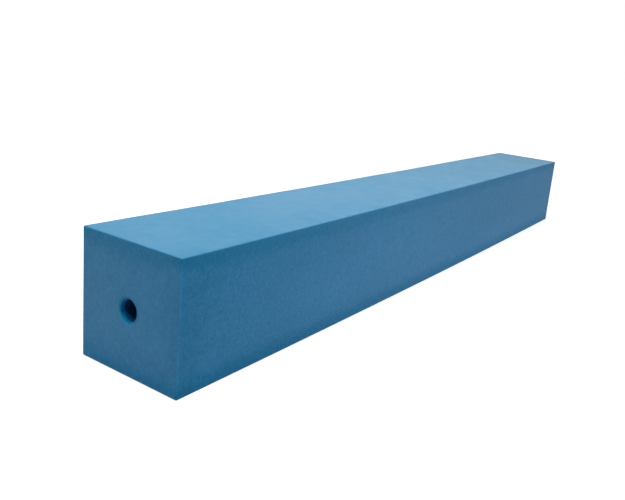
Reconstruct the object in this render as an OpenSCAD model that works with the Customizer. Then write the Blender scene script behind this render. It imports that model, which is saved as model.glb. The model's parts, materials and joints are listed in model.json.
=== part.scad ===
// Foam turning block: a square bar of closed-cell foam, bored down the middle from end to end.
// It lies on one side, with the bore along X. The origin is at the middle of its underside.

/* [Block] */
// Length of the block, along the bore
block_length = 317.5; // [120:0.5:450]
// Width of the block, across the bore
block_width = 38.1; // [25:0.1:80]
// Height of the block as it lies
block_height = 38.1; // [25:0.1:80]
// Radius that softens every arris and corner
arris_radius = 0.4; // [0.2:0.1:2]

/* [Bore] */
// Diameter of the bore
bore_diameter = 6.35; // [4:0.05:16]
// Radius that eases the mouth of the bore at each end
mouth_radius = 0.4; // [0.2:0.1:2]

/* [Hidden] */
$fn = 64;

// How far the space cut for the bore runs past each end of the block
overrun = 1;
foam_colour = [0.27, 0.46, 0.60];

// A rectangle with its four corners rounded
module rounded_outline(across, up, radius) {
    square([across - 2 * radius, up], center = true);
    square([across, up - 2 * radius], center = true);
    for (side = [-1, 1], end = [-1, 1])
        translate([side * (across / 2 - radius), end * (up / 2 - radius)])
            circle(r = radius);
}

// The bar before it is bored. Three rounded prisms cross, one along each axis, and what lies in
// all three is kept, so every arris is a true round and the rounds meet at the corners.
module soft_bar() {
    intersection() {
        rotate([90, 0, 90])
            linear_extrude(block_length, center = true)
                rounded_outline(block_width, block_height, arris_radius);
        rotate([90, 0, 0])
            linear_extrude(block_width, center = true)
                rounded_outline(block_length, block_height, arris_radius);
        linear_extrude(block_height, center = true)
            rounded_outline(block_length, block_width, arris_radius);
    }
}

// Half section of the bore: a straight wall, and at each end a mouth that opens in a round
module bore_section() {
    bore_radius = bore_diameter / 2;
    translate([0, -block_length / 2])
        square([bore_radius, block_length]);
    for (far_end = [0, 1])
        mirror([0, far_end])
            translate([0, block_length / 2 - mouth_radius])
                difference() {
                    square([bore_radius + mouth_radius, mouth_radius + overrun]);
                    translate([bore_radius + mouth_radius, 0])
                        circle(r = mouth_radius);
                }
}

// The space that the bore takes, along X
module bore() {
    rotate([0, 90, 0])
        rotate_extrude()
            bore_section();
}

module foam_block() {
    color(foam_colour)
        translate([0, 0, block_height / 2])
            difference() {
                soft_bar();
                bore();
            }
}

foam_block();
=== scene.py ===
# %% [markdown]
# # A foam turning block
# The object is one long square bar of blue closed-cell foam. It was cut from a thick sheet, its
# arrises (a maker's word for the outer edges) were softened a little, and a small hole was drilled
# down its middle, so that it can be glued on a rod and turned to shape. The bar lies on one side on
# a white floor. The CAD model holds its sizes. This lesson makes the foam itself: a mesh with soft
# arrises, a slight bow and a torn bore, and a material with cells, a smooth skin, marks that are
# mostly painted light and shade, and a matt bloom.

# %% Load the frame
import json
import math

import bpy
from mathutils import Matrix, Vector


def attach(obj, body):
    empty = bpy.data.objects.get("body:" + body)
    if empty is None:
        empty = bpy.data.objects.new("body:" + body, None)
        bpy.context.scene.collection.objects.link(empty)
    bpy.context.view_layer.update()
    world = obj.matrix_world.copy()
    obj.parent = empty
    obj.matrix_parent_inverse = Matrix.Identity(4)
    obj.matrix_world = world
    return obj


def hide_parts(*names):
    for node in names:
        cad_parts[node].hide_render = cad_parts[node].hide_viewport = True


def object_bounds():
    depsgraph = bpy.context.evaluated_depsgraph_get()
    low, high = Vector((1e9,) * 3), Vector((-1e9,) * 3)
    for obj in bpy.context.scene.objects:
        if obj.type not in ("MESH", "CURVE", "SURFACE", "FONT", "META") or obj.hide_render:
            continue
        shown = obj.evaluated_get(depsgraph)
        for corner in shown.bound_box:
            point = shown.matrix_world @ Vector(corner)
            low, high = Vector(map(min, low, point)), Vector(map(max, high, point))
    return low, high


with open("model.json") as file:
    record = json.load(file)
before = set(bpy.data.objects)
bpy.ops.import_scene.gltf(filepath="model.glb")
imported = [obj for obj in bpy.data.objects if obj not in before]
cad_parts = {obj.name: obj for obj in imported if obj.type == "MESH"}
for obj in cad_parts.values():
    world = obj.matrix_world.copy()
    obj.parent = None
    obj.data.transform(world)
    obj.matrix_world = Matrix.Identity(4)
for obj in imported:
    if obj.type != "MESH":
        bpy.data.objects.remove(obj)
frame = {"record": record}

# %% [markdown]
# ## Sizes
# Sizes could be typed in again here. They are read from the CAD model instead, so that the mesh
# can't drift away from it. The length of the bore's straight wall falls short of the block by the
# round at each mouth, and that gives the radius of the rounds. Blender works in metres, so a small
# size is written as so many millimetres times MM.

# %% Read the sizes
MM = 0.001
cad_low, cad_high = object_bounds()
LENGTH, WIDTH, HEIGHT = cad_high - cad_low
MIDDLE = (cad_low + cad_high) / 2

bore_mount = next(mount for mount in frame["record"]["mounts"] if mount["name"] == "bore")
BORE_RADIUS = bore_mount["dims"]["r_mm"] * MM
ROUND = (LENGTH - bore_mount["dims"]["length_mm"] * MM) / 2
print(f"block {LENGTH / MM:.1f} x {WIDTH / MM:.1f} x {HEIGHT / MM:.1f} mm,",
      f"bore {2 * BORE_RADIUS / MM:.2f} mm, arrises and mouths rounded by {ROUND / MM:.2f} mm")

# %% [markdown]
# ## Camera
# The camera stands off one end, a little above the block, so that the end face, one long side and
# the top all show, and it leans a few degrees to one side. A camera can be flown into place by hand,
# but typed values give the same view each time. The point that the lens looks straight at is AXIS_X,
# AXIS_Y, in pixels from the top left corner, and not the middle of the view. Turning the camera
# would change how steeply the upright edges lean. A small shift of the lens leaves them alone.

# %% Place the camera
IMAGE_WIDTH, IMAGE_HEIGHT = 625, 500
SENSOR_WIDTH = 36.0
FOCAL_PIXELS = 655.7
AXIS_X, AXIS_Y = 353.5, 214.7
CAMERA_PLACE = (-0.26625, -0.13200, 0.08863)
CAMERA_TURN = (76.734, -5.652, -57.170)
CLIP_NEAR, CLIP_FAR = 0.01, 50

camera_data = bpy.data.cameras.new("camera")
camera_data.sensor_width = SENSOR_WIDTH
camera_data.lens = FOCAL_PIXELS * SENSOR_WIDTH / IMAGE_WIDTH
camera_data.shift_x = (IMAGE_WIDTH / 2 - AXIS_X) / IMAGE_WIDTH
camera_data.shift_y = (AXIS_Y - IMAGE_HEIGHT / 2) / IMAGE_WIDTH
camera_data.clip_start = CLIP_NEAR
camera_data.clip_end = CLIP_FAR

camera = bpy.data.objects.new("camera", camera_data)
bpy.context.scene.collection.objects.link(camera)
camera.location = CAMERA_PLACE
camera.rotation_euler = [math.radians(angle) for angle in CAMERA_TURN]
bpy.context.scene.camera = camera
print(f"lens {camera_data.lens:.2f} mm, shift {camera_data.shift_x:.3f}, {camera_data.shift_y:.3f}")

# %% [markdown]
# ## Node helpers
# A material is a small graph of nodes, and a few helpers keep the graphs below readable. `add_node`
# adds one node. Each of its inputs is either a plain value or another node's output, which it then
# links. `calculate` does that for the Math node, which works on numbers, and `vector` for Vector
# Math, which works on places and colours. `product` multiplies several numbers, and `fade` turns a
# number into a soft step between two values.

# %% Write the node helpers
def add_node(tree, kind, inputs=None, **settings):
    node = tree.nodes.new(kind)
    for name, value in settings.items():
        setattr(node, name, value)
    for name, value in (inputs or {}).items():
        if isinstance(value, bpy.types.NodeSocket):
            tree.links.new(value, node.inputs[name])
        else:
            node.inputs[name].default_value = value
    return node


def calculate(tree, operation, *values, clamp=False):
    settings = {"operation": operation, "use_clamp": clamp}
    return add_node(tree, "ShaderNodeMath", dict(enumerate(values)), **settings).outputs["Value"]


def product(tree, first, *others):
    for other in others:
        first = calculate(tree, "MULTIPLY", first, other)
    return first


def vector(tree, operation, *values, answer="Vector"):
    sums = add_node(tree, "ShaderNodeVectorMath", dict(enumerate(values)), operation=operation)
    return sums.outputs[answer]


def fade(tree, value, start, end, low=0.0, high=1.0):
    inputs = {"Value": value, "From Min": start, "From Max": end, "To Min": low, "To Max": high}
    step = add_node(tree, "ShaderNodeMapRange", inputs, interpolation_type="SMOOTHSTEP")
    return step.outputs["Result"]


# %% [markdown]
# ## Light
# A plain studio. One big soft box would light the block evenly. Here the top is about twice as
# bright as the side and the end, and brightest at the near half, so a small box hangs over that
# half, another stands out in front of the long side, and a pale room fills in the rest. Through
# Light Path the room shows as pure white to the camera and in anything glossy or clear, and only
# its pale fill lights the matt foam.

# %% Light the room
WHITE = (1, 1, 1, 1)
ROOM_SEEN, ROOM_FILL = 1.0, 0.26
BOX_SIZE = 0.4
BOXES = {
    "overhead_box": {"place": (-0.12, 0.0, 0.5), "watts": 1.78},
    "front_box": {"place": (0.3, -0.5, 0.5), "watts": 1.15},
}

bpy.context.scene.view_settings.view_transform = "Standard"

world = bpy.data.worlds.new("studio")
world.use_nodes = True
world.node_tree.nodes.clear()
bpy.context.scene.world = world
tree = world.node_tree
seen = add_node(tree, "ShaderNodeBackground", {"Color": WHITE, "Strength": ROOM_SEEN})
fill = add_node(tree, "ShaderNodeBackground", {"Color": WHITE, "Strength": ROOM_FILL})
path = add_node(tree, "ShaderNodeLightPath").outputs
sees_white = calculate(tree, "MAXIMUM", path["Is Camera Ray"], path["Is Glossy Ray"])
sees_white = calculate(tree, "MAXIMUM", sees_white, path["Is Transmission Ray"])
room = add_node(tree, "ShaderNodeMixShader", {0: sees_white, 1: fill.outputs[0], 2: seen.outputs[0]})
add_node(tree, "ShaderNodeOutputWorld", {"Surface": room.outputs[0]})

for name, box in BOXES.items():
    lamp_data = bpy.data.lights.new(name, "AREA")
    lamp_data.shape = "SQUARE"
    lamp_data.size = BOX_SIZE
    lamp_data.energy = box["watts"]
    lamp = bpy.data.objects.new(name, lamp_data)
    bpy.context.scene.collection.objects.link(lamp)
    lamp.location = box["place"]
    lamp.visible_camera = False
    print(f"{name}: {box['watts']} W at {box['place']}")

# %% [markdown]
# ## Floor
# The floor is a plain pale sheet, and it takes the block's soft shadow as paper does. A sheet that
# curves up behind the block would hide the far edge. A very wide flat one is simpler and does the
# same, with a little glow that only the camera sees to lift the lit paper to white. The glow is
# least round the block, where the lamps light the paper best, and grows from there, so that the
# paper meets the white room without a line.

# %% Lay the floor
FLOOR_SIZE = 40
PAPER = (0.8, 0.8, 0.8, 1)
GLOW_CENTRE = (0.12, 0, 0)
GLOW_FROM, GLOW_TO = 0.1, 0.6
GLOW_NEAR, GLOW_FAR = 0.55, 1.0

bpy.ops.object.select_all(action="DESELECT")
bpy.ops.mesh.primitive_plane_add(size=FLOOR_SIZE, location=(0, 0, 0))
floor = bpy.context.object
floor.name = "floor"
paper = bpy.data.materials.new("white_paper")
paper.use_nodes = True
paper.node_tree.nodes.clear()
tree = paper.node_tree
matt = add_node(tree, "ShaderNodeBsdfDiffuse", {"Color": PAPER})
place = add_node(tree, "ShaderNodeTexCoord").outputs["Object"]
away = vector(tree, "DISTANCE", place, GLOW_CENTRE, answer="Value")
to_camera = add_node(tree, "ShaderNodeLightPath").outputs["Is Camera Ray"]
strength = product(tree, fade(tree, away, GLOW_FROM, GLOW_TO, GLOW_NEAR, GLOW_FAR), to_camera)
glow = add_node(tree, "ShaderNodeEmission", {"Strength": strength})
lit = add_node(tree, "ShaderNodeAddShader", {0: matt.outputs[0], 1: glow.outputs[0]})
add_node(tree, "ShaderNodeOutputMaterial", {"Surface": lit.outputs[0]})
floor.data.materials.append(paper)
print(f"floor {FLOOR_SIZE} m across, its glow {GLOW_NEAR} near the block and {GLOW_FAR} far out")

# %% [markdown]
# ## Picking parts of the mesh
# By hand you would click on edges and faces. In code, `pick` selects them by a test on the places of
# their corners. The selection is written in Object Mode and used in Edit Mode, and the select mode
# has to match what was picked, or Blender drops the selection on the way. Places that should be the
# same can differ in the last digit, so every test allows a HAIR, which is a thousandth of a
# millimetre.

# %% Write the picker
HAIR = 0.001 * MM


def pick(kind, test):
    bpy.ops.object.mode_set(mode="EDIT")
    bpy.ops.mesh.select_mode(type=kind)
    bpy.ops.mesh.select_all(action="DESELECT")
    bpy.ops.object.mode_set(mode="OBJECT")
    mesh = bpy.context.object.data
    parts = mesh.polygons if kind == "FACE" else mesh.edges
    for part in parts:
        part.select = test(*[mesh.vertices[i].co for i in part.vertices])
    picked = sum(part.select for part in parts)
    bpy.ops.object.mode_set(mode="EDIT")
    return picked


def at_end(end):
    return lambda *corners: all(abs(corner.x - end * LENGTH / 2) < HAIR for corner in corners)


def from_axis(place):
    return math.hypot(place.y - MIDDLE.y, place.z - MIDDLE.z)


# %% [markdown]
# ## The bar
# The bar starts as a cube at its real size. Its two end faces are taken off for now, and the rest is
# cut into narrow strips, because the ends need enough points to turn a square rim into a round hole.

# %% Start the bar
STRIPS = 16
bpy.ops.object.select_all(action="DESELECT")
bpy.ops.mesh.primitive_cube_add(size=1, location=MIDDLE, scale=(LENGTH, WIDTH, HEIGHT))
block = bpy.context.object
block.name = "foam_block_body"
bpy.ops.object.transform_apply(location=True, rotation=True, scale=True)
for end in (-1, 1):
    pick("FACE", at_end(end))
    bpy.ops.mesh.delete(type="ONLY_FACE")
rim_edges = pick("EDGE", lambda a, b: abs(a.x - b.x) < HAIR)
bpy.ops.mesh.subdivide(number_cuts=STRIPS - 1)
print(f"{rim_edges} rim edges, each cut into {STRIPS}")

# %% [markdown]
# ## End faces
# Each end face grows inwards from its rim: the rim is extruded, shrunk towards the bore, and turned
# rounder with To Sphere, ring after ring, until the last ring is a true circle of the bore's size.
# A flat face with a hole punched in it would look the same here, but its long thin faces would take
# a bevel and a soft dent badly.

# %% Close the ends round the bore
RINGS = 10
for end in (-1, 1):
    pick("EDGE", at_end(end))
    centre = (end * LENGTH / 2, MIDDLE.y, MIDDLE.z)
    reach = WIDTH / 2
    for ring in range(1, RINGS + 1):
        next_reach = WIDTH / 2 + (BORE_RADIUS - WIDTH / 2) * ring / RINGS
        smaller = next_reach / reach
        bpy.ops.mesh.extrude_edges_move()
        bpy.ops.transform.resize(value=(1, smaller, smaller), center_override=centre)
        bpy.ops.transform.tosphere(value=(ring / RINGS) ** 2)
        reach = next_reach
    bpy.ops.object.mode_set(mode="OBJECT")
    mouth = [vertex.co for vertex in block.data.vertices if vertex.select]
    smaller = BORE_RADIUS / max(from_axis(place) for place in mouth)
    bpy.ops.object.mode_set(mode="EDIT")
    bpy.ops.transform.resize(value=(1, smaller, smaller), center_override=centre)
    print(f"mouth at {end * LENGTH / 2 / MM:.1f} mm has {len(mouth)} points")

# %% [markdown]
# ## Bore
# The hole was drilled right through. Cutting it with a Boolean and a cylinder would leave thin
# slivers round the mouths. Instead the mouth that is still selected is extruded down the length of
# the bar until it meets the other mouth, and the two are merged there, so each strip of the bore
# lines up with one of the end face.

# %% Drill the bore
bpy.ops.mesh.extrude_edges_move(TRANSFORM_OT_translate={"value": (-LENGTH, 0, 0)})
bpy.ops.mesh.select_all(action="SELECT")
bpy.ops.mesh.remove_doubles(threshold=HAIR)
bpy.ops.object.mode_set(mode="OBJECT")
print(f"{len(block.data.polygons)} faces on the bar, its ends and its bore")

# %% [markdown]
# ## Steps along the bar
# The bar has to bow and swell a little later, so its long strips are cut across. Loop Cut would do
# that by hand, and Subdivide on the long edges makes the same cuts from code. Near each mouth the
# bore also gets a row of close rings from Bisect, because that is where the torn foam shows. The
# first of them is left out, as the mouth is about to be rounded there.

# %% Cut the strips across
STEPS = 100
TORN_REACH = 6 * MM
TORN_STEP = 0.5 * MM
FIRST_RING = 2
pick("EDGE", lambda a, b: abs(a.x - b.x) > LENGTH / 2)
bpy.ops.mesh.subdivide(number_cuts=STEPS - 1)
for end in (-1, 1):
    for ring in range(FIRST_RING, round(TORN_REACH / TORN_STEP) + 1):
        pick("FACE", lambda *corners: max(map(from_axis, corners)) < BORE_RADIUS + HAIR)
        plane = (end * (LENGTH / 2 - ring * TORN_STEP), 0, 0)
        bpy.ops.mesh.bisect(plane_co=plane, plane_no=(1, 0, 0))
bpy.ops.mesh.select_all(action="SELECT")
bpy.ops.mesh.normals_make_consistent(inside=False)
print(f"{STEPS} steps of {LENGTH / STEPS / MM:.2f} mm, with rings {TORN_STEP / MM:.1f} mm apart",
      f"in the first {TORN_REACH / MM:.0f} mm of each mouth")

# %% [markdown]
# ## Soft arrises
# Foam can't hold a knife edge. All edges that turn by more than 30 degrees, which are the twelve
# arrises and the two mouths, are found by their angle and bevelled round. A Bevel modifier would do
# as well, but the operator leaves the new faces selected. So they can be marked in a face attribute,
# and the faces of the two ends in another, because each is coloured on its own: the upright arrises
# carry a painted highlight, and the ends are paler, partly from another saw and partly as painted
# sheen.

# %% Round the arrises and the mouths
SHARP = math.radians(30)
BEVEL_SEGMENTS, TRUE_ROUND = 4, 0.5
CLEAR_OF_BORE = 2 * BORE_RADIUS
FACING_AN_END = 0.9
bpy.ops.mesh.select_all(action="DESELECT")
bpy.ops.mesh.select_mode(type="EDGE")
bpy.ops.mesh.edges_select_sharp(sharpness=SHARP)
bpy.ops.mesh.bevel(offset=ROUND, segments=BEVEL_SEGMENTS, profile=TRUE_ROUND)
bpy.ops.object.mode_set(mode="OBJECT")
arrises = block.data.attributes.new("arrises", "FLOAT", "FACE")
ends = block.data.attributes.new("ends", "FLOAT", "FACE")
for face in block.data.polygons:
    on_arris = face.select and from_axis(face.center) > CLEAR_OF_BORE
    on_end = not face.select and abs(face.normal.x) > FACING_AN_END
    arrises.data[face.index].value = float(on_arris)
    ends.data[face.index].value = float(on_end)
print(f"{len(block.data.polygons)} faces,",
      f"{sum(mark.value > 0 for mark in arrises.data)} on the arrises,",
      f"{sum(mark.value > 0 for mark in ends.data)} on the ends")

# %% [markdown]
# ## Pressed lip
# A rod that was pushed in has dragged on the lower lip of the near mouth and left it pressed back
# and wide. The lip could be sculpted with a brush. Here a move with proportional editing does it: the
# lip is picked by its place and shifted down and in, and the foam round it follows less and less.
# LIP_TURN says which way is down for the lip, as an angle below level.

# %% Press the lower lip
LIP_TURN = math.radians(74)
LIP_PRESS = 0.35 * MM
LIP_BACK = 0.15 * MM
LIP_REACH = 3 * MM
LIP_FROM = 0.8 * BORE_RADIUS
lip_way = (math.cos(LIP_TURN), -math.sin(LIP_TURN))


def at_lip(*corners):
    near = all(corner.x < -LENGTH / 2 + ROUND + HAIR for corner in corners)
    inner = all(from_axis(corner) < BORE_RADIUS + ROUND + HAIR for corner in corners)
    ways = [(corner.y - MIDDLE.y) * lip_way[0] + (corner.z - MIDDLE.z) * lip_way[1]
            for corner in corners]
    return near and inner and min(ways) > LIP_FROM


lip_faces = pick("FACE", at_lip)
bpy.ops.transform.translate(value=(LIP_BACK, LIP_PRESS * lip_way[0], LIP_PRESS * lip_way[1]),
                            use_proportional_edit=True, proportional_edit_falloff="SMOOTH",
                            proportional_size=LIP_REACH)
bpy.ops.object.mode_set(mode="OBJECT")
print(f"{lip_faces} faces of the lip pressed down by {LIP_PRESS / MM:.2f} mm")

# %% [markdown]
# ## Bow
# A long bar of soft foam is seldom straight. This one bows sideways by about a millimetre between
# its ends. A Curve modifier could bend it along a drawn line. A Displace modifier is lighter: a
# vertex group holds how far each point goes along, from none at the ends to all in the middle, and
# the modifier moves the points sideways by that much.

# %% Bow the bar
BOW = 1.1 * MM
bow_group = block.vertex_groups.new(name="bow")
for vertex in block.data.vertices:
    along = vertex.co.x / (LENGTH / 2)
    bow_group.add([vertex.index], max(0.0, 1 - along ** 2), "REPLACE")


def push_foam(name, **settings):
    modifier = block.modifiers.new(name, "DISPLACE")
    for key, value in settings.items():
        setattr(modifier, key, value)
    bpy.ops.object.modifier_apply(modifier=name)


push_foam("bow", direction="Y", mid_level=0, strength=-BOW, vertex_group="bow")
print(f"bowed by {BOW / MM:.1f} mm halfway along")

# %% [markdown]
# ## Swell
# The faces of sawn foam aren't flat to the last tenth of a millimetre. A soft cloud pattern pushes
# them in and out, too little to see as a dent and enough to break up a dead straight gloss. The
# underside rests on the floor and stays flat, so a second vertex group fades the push out there.

# %% Let the faces swell a little
SWELL = 0.3 * MM
SWELL_SPREAD = 45 * MM
FREE_HEIGHT = 8 * MM
free_group = block.vertex_groups.new(name="free")
for vertex in block.data.vertices:
    free_group.add([vertex.index], min(1.0, max(0.0, vertex.co.z / FREE_HEIGHT)), "REPLACE")
swell_clouds = bpy.data.textures.new("swell", "CLOUDS")
swell_clouds.noise_scale = SWELL_SPREAD
push_foam("swell", texture=swell_clouds, texture_coords="LOCAL", strength=SWELL,
          vertex_group="free")
print(f"faces swell by up to {SWELL / 2 / MM:.2f} mm either way, over lumps of",
      f"{SWELL_SPREAD / MM:.0f} mm")

# %% [markdown]
# ## Torn bore
# The drill tears soft foam more than it cuts it. Sculpting would tear the wall too, but its rings
# are close enough for the same modifier to do it. The wall of the bore just inside each mouth gets
# a push with smaller and rougher clouds than the faces have.

# %% Tear the bore
TEAR = 0.35 * MM
TEAR_SPREAD = 1.6 * MM
TEAR_DETAIL = 3
WALL_REACH = 1.2 * BORE_RADIUS
torn_points = [vertex.index for vertex in block.data.vertices
               if from_axis(vertex.co) < WALL_REACH
               and ROUND + HAIR < LENGTH / 2 - abs(vertex.co.x) < TORN_REACH + HAIR]
torn_group = block.vertex_groups.new(name="torn")
torn_group.add(torn_points, 1.0, "REPLACE")
tear_clouds = bpy.data.textures.new("tear", "CLOUDS")
tear_clouds.noise_scale = TEAR_SPREAD
tear_clouds.noise_depth = TEAR_DETAIL
push_foam("torn", texture=tear_clouds, texture_coords="LOCAL", strength=TEAR, vertex_group="torn")
print(f"{len(torn_points)} points of the bore torn by up to {TEAR / 2 / MM:.2f} mm either way")

# %% [markdown]
# ## Smooth shading
# The faces are shaded smooth so that the arrises look round. A Weighted Normal modifier then lets
# the big faces decide, so the roundness doesn't spread over the flats beside it.

# %% Shade the block
bpy.ops.object.shade_smooth()
block.modifiers.new("flats", "WEIGHTED_NORMAL")
bpy.ops.object.modifier_apply(modifier="flats")
print(f"{len(block.data.vertices)} points and {len(block.data.polygons)} faces, all shaded smooth")

# %% [markdown]
# ## Where each finish lies
# The foam has three surfaces. The top and the underside are the sheet's own moulded skin, which is
# smooth. The long sides and the ends are sawn through the cells. The wall of the bore is torn. They
# could be three materials on three sets of faces, but then each finish would stop dead at an edge.
# Here one material works out soft masks, from 0 to 1, that say where each finish is. It reads Object
# coordinates, which on this block are simply metres from the middle of its underside, and the two
# attributes that were stored on the faces.

# %% Start the foam and find its skin
SKIN_EDGE = 0.35 * MM

foam = bpy.data.materials.new("blue_foam")
foam.use_nodes = True
foam.node_tree.nodes.clear()
tree = foam.node_tree
place = add_node(tree, "ShaderNodeTexCoord").outputs["Object"]
along, across, up = add_node(tree, "ShaderNodeSeparateXYZ", {"Vector": place}).outputs
arris_mask = add_node(tree, "ShaderNodeAttribute", attribute_name="arrises").outputs["Fac"]
end_mask = add_node(tree, "ShaderNodeAttribute", attribute_name="ends").outputs["Fac"]

mid_up = calculate(tree, "SUBTRACT", up, HEIGHT / 2)
below_skin = calculate(tree, "SUBTRACT", HEIGHT / 2, calculate(tree, "ABSOLUTE", mid_up))
skin = fade(tree, below_skin, SKIN_EDGE, 0.0)
sawn = calculate(tree, "SUBTRACT", 1.0, skin)
print(f"the skin ends {SKIN_EDGE / MM:.2f} mm below the top and above the underside")

# %% [markdown]
# ## Noise
# Nothing on a real block changes along a ruled line. `grain` makes a Noise texture whose lumps have
# a given size. Its values mostly lie between NOISE_LOW and NOISE_HIGH, and `vary` spreads them over
# a range of tones. `wander` turns them into a distance that swings both ways. Added to a depth, that
# makes the edge of a finish ragged.

# %% Write the noise helpers
NOISE_LOW, NOISE_MIDDLE, NOISE_HIGH = 0.25, 0.5, 0.75
PLAIN_DETAIL, RICH_DETAIL = 2.0, 3.0


def grain(size, detail=PLAIN_DETAIL):
    inputs = {"Vector": place, "Scale": 1 / size, "Detail": detail}
    return add_node(tree, "ShaderNodeTexNoise", inputs).outputs["Fac"]


def vary(noise, low, high):
    return fade(tree, noise, NOISE_LOW, NOISE_HIGH, low, high)


def wander(noise, reach):
    return product(tree, calculate(tree, "SUBTRACT", noise, NOISE_MIDDLE), reach)


# %% [markdown]
# ## Bore
# The mask of the bore is a distance from its axis, and it reaches a little way out on to the end
# face, where the drill has burnished the foam. A face attribute would mark the bore too, but it
# couldn't fade. Going in, the bore changes twice: the lip is smooth and bright, the wall behind it
# is painted deeper blue, partly a rougher drilled wall and partly painted shade, and beyond a ragged
# line, where it is torn, it is painted nearly black, which is painted shade deep in the hole. That
# line lies deeper at the top and the bottom than at the sides. The lip that was pressed down is
# painted brightest, a painted highlight where it is stretched smooth and faces up to the light.

# %% Find the bore
BURNISHED, MOUTH = 1.4 * BORE_RADIUS, 1.15 * BORE_RADIUS
LIP_SURE, LIP_END = 0.2 * MM, 0.5 * MM
PRESSED_FROM, PRESSED_FULL = 0.6 * BORE_RADIUS, 0.95 * BORE_RADIUS
PRESSED_SURE, PRESSED_DEPTH = 1.0 * MM, 1.5 * MM
BORE_SHADE_FROM, BORE_SHADE_BLEND = 1.35 * MM, 0.2 * MM
BORE_SHADE_DIP = 1.2 * MM
BORE_SHADE_RAGGED = 1.8 * MM
BORE_SHADE_GRAIN = 1.1 * MM

across_squared = product(tree, across, across)
up_squared = product(tree, mid_up, mid_up)
radial = calculate(tree, "SQRT", calculate(tree, "ADD", across_squared, up_squared))
depth = calculate(tree, "SUBTRACT", LENGTH / 2, calculate(tree, "ABSOLUTE", along))
in_bore = fade(tree, radial, BURNISHED, MOUTH)
lip = fade(tree, depth, LIP_END, LIP_SURE)

lip_across = product(tree, across, lip_way[0])
lip_down = product(tree, mid_up, lip_way[1])
lip_side = calculate(tree, "ADD", lip_across, lip_down)
near_half = calculate(tree, "LESS_THAN", along, 0.0)
# painted highlight on the pressed lip, where it faces up to the light
pressed = product(tree, fade(tree, lip_side, PRESSED_FROM, PRESSED_FULL),
                  fade(tree, depth, PRESSED_DEPTH, PRESSED_SURE), near_half)

dip = product(tree, up_squared, BORE_SHADE_DIP / BORE_RADIUS ** 2)
ragged_depth = calculate(tree, "ADD", depth, wander(grain(BORE_SHADE_GRAIN), BORE_SHADE_RAGGED))
bore_shade_depth = calculate(tree, "SUBTRACT", ragged_depth, dip)
# painted shade deep in the bore: past this ragged line the wall is painted nearly black
torn = fade(tree, bore_shade_depth, BORE_SHADE_FROM, BORE_SHADE_FROM + BORE_SHADE_BLEND)
print(f"burnished to {BURNISHED / MM:.1f} mm from the axis,",
      f"torn from about {BORE_SHADE_FROM / MM:.1f} mm inside each mouth")

# %% [markdown]
# ## Cells
# Closed-cell foam is a froth of tiny bubbles. On a sawn face each bubble is cut open, so the face is
# a mosaic of cups about half a millimetre across. Modelled cups would take millions of faces, and a
# Voronoi texture makes the same mosaic. It gives each cell a random tone of its own, and the
# distance from the cell's middle is the shape of its cup. A second mosaic picks out one cell in
# fourteen as a big bubble, whose open cup is painted darker as painted shade, which shows on the long
# sides as a dark speck.

# %% Make the cells
CELL, CELL_TONE = 0.55 * MM, 0.055
CLUMP, CLUMP_TONE = 1.3 * MM, 0.09
BUBBLE, BUBBLE_SHARE, BUBBLE_SHADE = 0.9 * MM, 0.07, 0.14
BUBBLE_RIM, BUBBLE_CORE = 0.4, 0.15


def mosaic(size):
    cells = add_node(tree, "ShaderNodeTexVoronoi", {"Vector": place, "Scale": 1 / size})
    colours = add_node(tree, "ShaderNodeSeparateColor", {"Color": cells.outputs["Color"]})
    return cells.outputs["Distance"], colours.outputs["Red"]


cup, cell_random = mosaic(CELL)
cell_tone = fade(tree, cell_random, 0.0, 1.0, 1 - CELL_TONE / 2, 1 + CELL_TONE / 2)
clump_tone = vary(grain(CLUMP), 1 - CLUMP_TONE / 2, 1 + CLUMP_TONE / 2)

bubble_away, bubble_random = mosaic(BUBBLE)
is_bubble = calculate(tree, "LESS_THAN", bubble_random, BUBBLE_SHARE)
bubble = product(tree, is_bubble, fade(tree, bubble_away, BUBBLE_RIM, BUBBLE_CORE))
bubble = calculate(tree, "SUBTRACT", bubble, end_mask, clamp=True)
# painted shade inside each big open bubble
bubble_shade = fade(tree, bubble, 0.0, 1.0, 1.0, 1 - BUBBLE_SHADE)
print(f"cells of {CELL / MM:.2f} mm, and in the second mosaic of {BUBBLE / MM:.1f} mm,",
      f"{BUBBLE_SHARE:.0%} are big bubbles")

# %% [markdown]
# ## Tone of the sawn faces
# The froth isn't even. Within the first few millimetres of the top and the underside the sawn faces
# are painted deeper blue, which along the floor is painted shade. Further in, the tone drifts a
# little from place to place, and the mean of a fine noise and a wide one gives that drift. The
# upright arrises are painted paler, a painted highlight that draws a thin light line down each. Paint
# on the vertices could hold all this, but it would be only as fine as the mesh.

# %% Shade the sawn faces
EDGE_SHADE_FULL, EDGE_SHADE_DEPTH = 1.5 * MM, 6.5 * MM
EDGE_SHADE_RAGGED = 3 * MM
DRIFT_FINE, DRIFT_WIDE = 4 * MM, 22 * MM
DRIFT_TONE = 0.14
ARRIS_TOP, ARRIS_FULL = 0.5 * MM, 2 * MM
ARRIS_HIGHLIGHT = 1.2

drifts = calculate(tree, "ADD", grain(DRIFT_FINE, RICH_DETAIL), grain(DRIFT_WIDE))
drift = calculate(tree, "DIVIDE", drifts, 2)
drift_tone = vary(drift, 1 - DRIFT_TONE / 2, 1 + DRIFT_TONE / 2)
edge_shade_from = calculate(tree, "ADD", below_skin, wander(drift, EDGE_SHADE_RAGGED))
# painted shade: the sawn faces darken within a few millimetres of the underside, where shade falls by
# the floor, and likewise under the top
edge_shade = product(tree, fade(tree, edge_shade_from, EDGE_SHADE_DEPTH, EDGE_SHADE_FULL), sawn)

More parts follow.
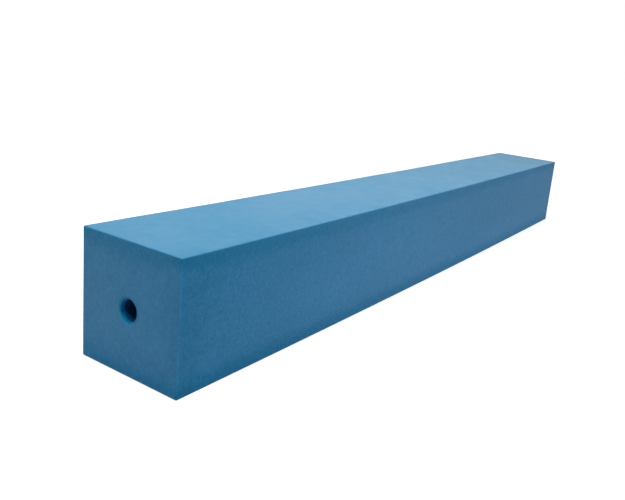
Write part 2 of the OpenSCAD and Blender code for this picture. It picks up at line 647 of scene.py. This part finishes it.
# painted highlight: a thin pale line down each upright arris
upright = product(tree, arris_mask, fade(tree, below_skin, ARRIS_TOP, ARRIS_FULL))
arris_highlight = fade(tree, upright, 0.0, 1.0, 1.0, ARRIS_HIGHLIGHT)
sawn_tone = product(tree, cell_tone, clump_tone, bubble_shade, drift_tone, arris_highlight)
print(f"dense froth for the first {EDGE_SHADE_DEPTH / MM:.1f} mm, tones drift by {DRIFT_TONE:.0%}")

# %% [markdown]
# ## Marks
# Most of these marks are painted light and shade. The block is painted darker by the near upright
# arris and at the far end of the top, which is painted shade, and lighter over the near half of the
# top, in the middle and at the foot of the long side and over the lower half of the end, which is
# painted light. A faint spot further along the top is darker too. Such marks could be painted on by
# hand. Here each is a soft oval, and the drift breaks up its edge. Its middle is given in
# millimetres along from the near end, across from the seen side and up from the floor. Its reach in
# the same three directions comes next, and its strength last. Tone marks make the foam darker or
# lighter, and the sheen marks mix in a little pale blue as painted sheen, in the middle of the top,
# in the middle of the long side and on the end beside the bore.

# %% Place the marks
NEAR_END, SEEN_SIDE = -LENGTH / 2, -WIDTH / 2
# all but the first are painted light and shade: the darker ones painted shade, the lighter ones
# painted light
TONE_MARKS = {
    "spot far along the top": ((187, 20, 38), (11, 4, 3), -0.07),
    "far end of the top": ((308, 12, 38), (30, 18, 3), -0.13),
    "near half of the top": ((75, 19, 38), (110, 30, 3), 0.045),
    "near upright arris": ((0, 0, 19), (9, 5, 30), -0.07),
    "middle of the long side": ((105, 0, 17), (75, 4, 22), 0.09),
    "foot of the long side": ((225, 0, 5), (90, 4, 9), 0.08),
    "lower half of the end": ((0, 19, 9), (3, 22, 10), 0.04),
}
# painted sheen: a little pale blue where the faces show more sheen
SHEEN_MARKS = {
    "middle of the top": ((105, 19, 38), (95, 30, 3), 0.045),
    "middle of the long side": ((95, 0, 14), (75, 4, 18), 0.02),
    "end, beside the bore": ((0, 27, 20), (3, 14, 12), 0.02),
}
MARK_RAGGED = 2.0
MARK_CORE, MARK_RIM = 0.2, 1.5


def soft_oval(centre, reach):
    centre = (NEAR_END + centre[0] * MM, SEEN_SIDE + centre[1] * MM, centre[2] * MM)
    shrink = tuple(1 / (half * MM) for half in reach)
    oval = vector(tree, "MULTIPLY", vector(tree, "SUBTRACT", place, centre), shrink)
    away = calculate(tree, "ADD", vector(tree, "LENGTH", oval, answer="Value"),
                     wander(drift, MARK_RAGGED))
    return fade(tree, away, MARK_RIM, MARK_CORE)


def add_marks(start, marks):
    total = start
    for centre, reach, amount in marks.values():
        total = calculate(tree, "ADD", total, product(tree, soft_oval(centre, reach), amount))
    return total


marks_tone = add_marks(1.0, TONE_MARKS)
painted_sheen = add_marks(0.0, SHEEN_MARKS)
print(len(TONE_MARKS), "tone marks,", len(SHEEN_MARKS), "dust marks")

# %% [markdown]
# ## Colours
# The foam is one blue all through. The skin shows it palest. The sawn sides are a little deeper, and
# the ends come between, paler than the sides partly from their own cut and partly as painted sheen.
# Each is painted darker within a few millimetres of the top and the underside, which along the floor
# is painted shade. At the foot of an end that painted shade takes mostly red, and a little blue is
# added as painted light, so it stays a clean blue. Light that scatters in the froth lays a thin grey
# veil over the blue, and a dark spot dims both together. So `shade` adds the veil, applies the tone
# and takes the veil off again, or dark spots would turn brown. `blend` uses the Mix node, whose
# sockets go by number here because their names repeat: 0 is the factor, 2 and 3 take numbers, and
# 4 and 5 take vectors, which come out of output 1.

# %% Mix the colours
SAWN_BLUE = (0.020, 0.214, 0.443)
# the ends: paler than the sides, partly from their own cut and partly as painted sheen
END_BLUE = (0.039, 0.245, 0.486)
SKIN_BLUE = (0.027, 0.272, 0.495)
# colour taken off in the painted edge shade
EDGE_SHADE_LOSS = (0.024, 0.027, 0.043)
# painted light at the foot of each end: there the painted edge shade takes mostly red and adds a
# little blue
FOOT_LOSS = (0.026, 0.008, -0.010)
LIP_BLUE = (0.015, 0.230, 0.470)
# painted highlight of the pressed lip
PRESSED_LIP_HIGHLIGHT = (0.006, 0.330, 0.630)
# deeper blue of the bore wall: partly a rougher drilled wall, partly painted shade
WALL_BLUE_AND_SHADE = (0.000, 0.155, 0.408)
# near black: painted shade deep in the bore
BORE_SHADE_BLUE = (0.000, 0.035, 0.135)
# pale blue of the painted sheen
PALE_SHEEN = (0.45, 0.55, 0.65)
VEIL = (0.1, 0.1, 0.1)
BLACK = (0, 0, 0)
SKIN_GRAIN, SKIN_TONE = 1.2 * MM, 0.06


def blend(factor, first, second):
    inputs = {0: factor, 4: first, 5: second}
    return add_node(tree, "ShaderNodeMix", inputs, data_type="VECTOR").outputs[1]


def shade(colour, tone):
    lit = vector(tree, "MULTIPLY", vector(tree, "ADD", colour, VEIL), tone)
    return vector(tree, "MAXIMUM", vector(tree, "SUBTRACT", lit, VEIL), BLACK)


# the foot of each end, where painted light lifts the painted edge shade
foot = product(tree, end_mask, calculate(tree, "LESS_THAN", mid_up, 0.0))
loss = vector(tree, "MULTIPLY", blend(foot, EDGE_SHADE_LOSS, FOOT_LOSS), edge_shade)
sawn_blue = vector(tree, "SUBTRACT", blend(end_mask, SAWN_BLUE, END_BLUE), loss)
skin_tone = vary(grain(SKIN_GRAIN, RICH_DETAIL), 1 - SKIN_TONE / 2, 1 + SKIN_TONE / 2)
tones = {0: skin, 2: sawn_tone, 3: skin_tone}
tone = add_node(tree, "ShaderNodeMix", tones, data_type="FLOAT").outputs[0]
faces = shade(blend(skin, sawn_blue, SKIN_BLUE), product(tree, tone, marks_tone))
wall = blend(pressed, blend(lip, WALL_BLUE_AND_SHADE, LIP_BLUE), PRESSED_LIP_HIGHLIGHT)
colour = blend(in_bore, blend(painted_sheen, faces, PALE_SHEEN), blend(torn, wall, BORE_SHADE_BLUE))
print(len(tree.nodes), "nodes in the colour")

# %% [markdown]
# ## Roughness and bump
# Roughness says how far a surface spreads its gloss. The moulded skin is smoother than the sawn
# cells, the bore is quite matt, and the drift varies the faces a little. Bump tilts the light as if
# the surface had height. The sawn faces get the cups of the cells, and all faces, the skin too, get
# a finer grain. Cups this small are beyond any mesh of a fair size, and everything larger on the
# block is in the mesh already.

# %% Make the roughness and the bump
SAWN_ROUGH, SKIN_ROUGH, ROUGH_DRIFT = 0.6, 0.42, 0.05
CUP_DEPTH = 0.065 * MM
FINE_GRAIN, FINE_SHARE = 0.35 * MM, 0.3

rough = fade(tree, skin, 0.0, 1.0, SAWN_ROUGH, SKIN_ROUGH)
rough = calculate(tree, "ADD", rough, vary(drift, -ROUGH_DRIFT, ROUGH_DRIFT))
rough = calculate(tree, "MAXIMUM", rough, in_bore)
cups = product(tree, cup, sawn)
height = calculate(tree, "ADD", cups, product(tree, grain(FINE_GRAIN), FINE_SHARE))
bump = add_node(tree, "ShaderNodeBump", {"Distance": CUP_DEPTH, "Height": height})
print(f"roughness {SAWN_ROUGH} where sawn and {SKIN_ROUGH} on the skin,",
      f"cups {CUP_DEPTH / MM:.2f} mm deep")

# %% [markdown]
# ## Shader
# The foam is matt, with a weak gloss. Seen along its faces it also has a pale bloom, because light
# that grazes the froth comes out again nearly white. Mixing in white by the angle of view would do
# that, but an export loses it. Principled has a layer for it, the sheen, made for the fuzz on cloth.
# It fits here too, and it keeps its place on the foam in every view.

# %% Make the shader
GLOSS = 0.16
BLOOM, BLOOM_SPREAD = 0.13, 0.5

shader = add_node(tree, "ShaderNodeBsdfPrincipled", {
    "Base Color": colour, "Roughness": rough, "Normal": bump.outputs["Normal"],
    "Specular IOR Level": GLOSS, "Sheen Weight": BLOOM, "Sheen Roughness": BLOOM_SPREAD})
add_node(tree, "ShaderNodeOutputMaterial", {"Surface": shader.outputs[0]})
block.data.materials.append(foam)
print(len(tree.nodes), "nodes in the foam")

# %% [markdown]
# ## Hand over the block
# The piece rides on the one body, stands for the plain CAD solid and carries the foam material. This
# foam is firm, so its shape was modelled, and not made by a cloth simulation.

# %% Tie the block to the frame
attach(block, "root")
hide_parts("foam_block")
print(f"{block.name} stands for foam_block")
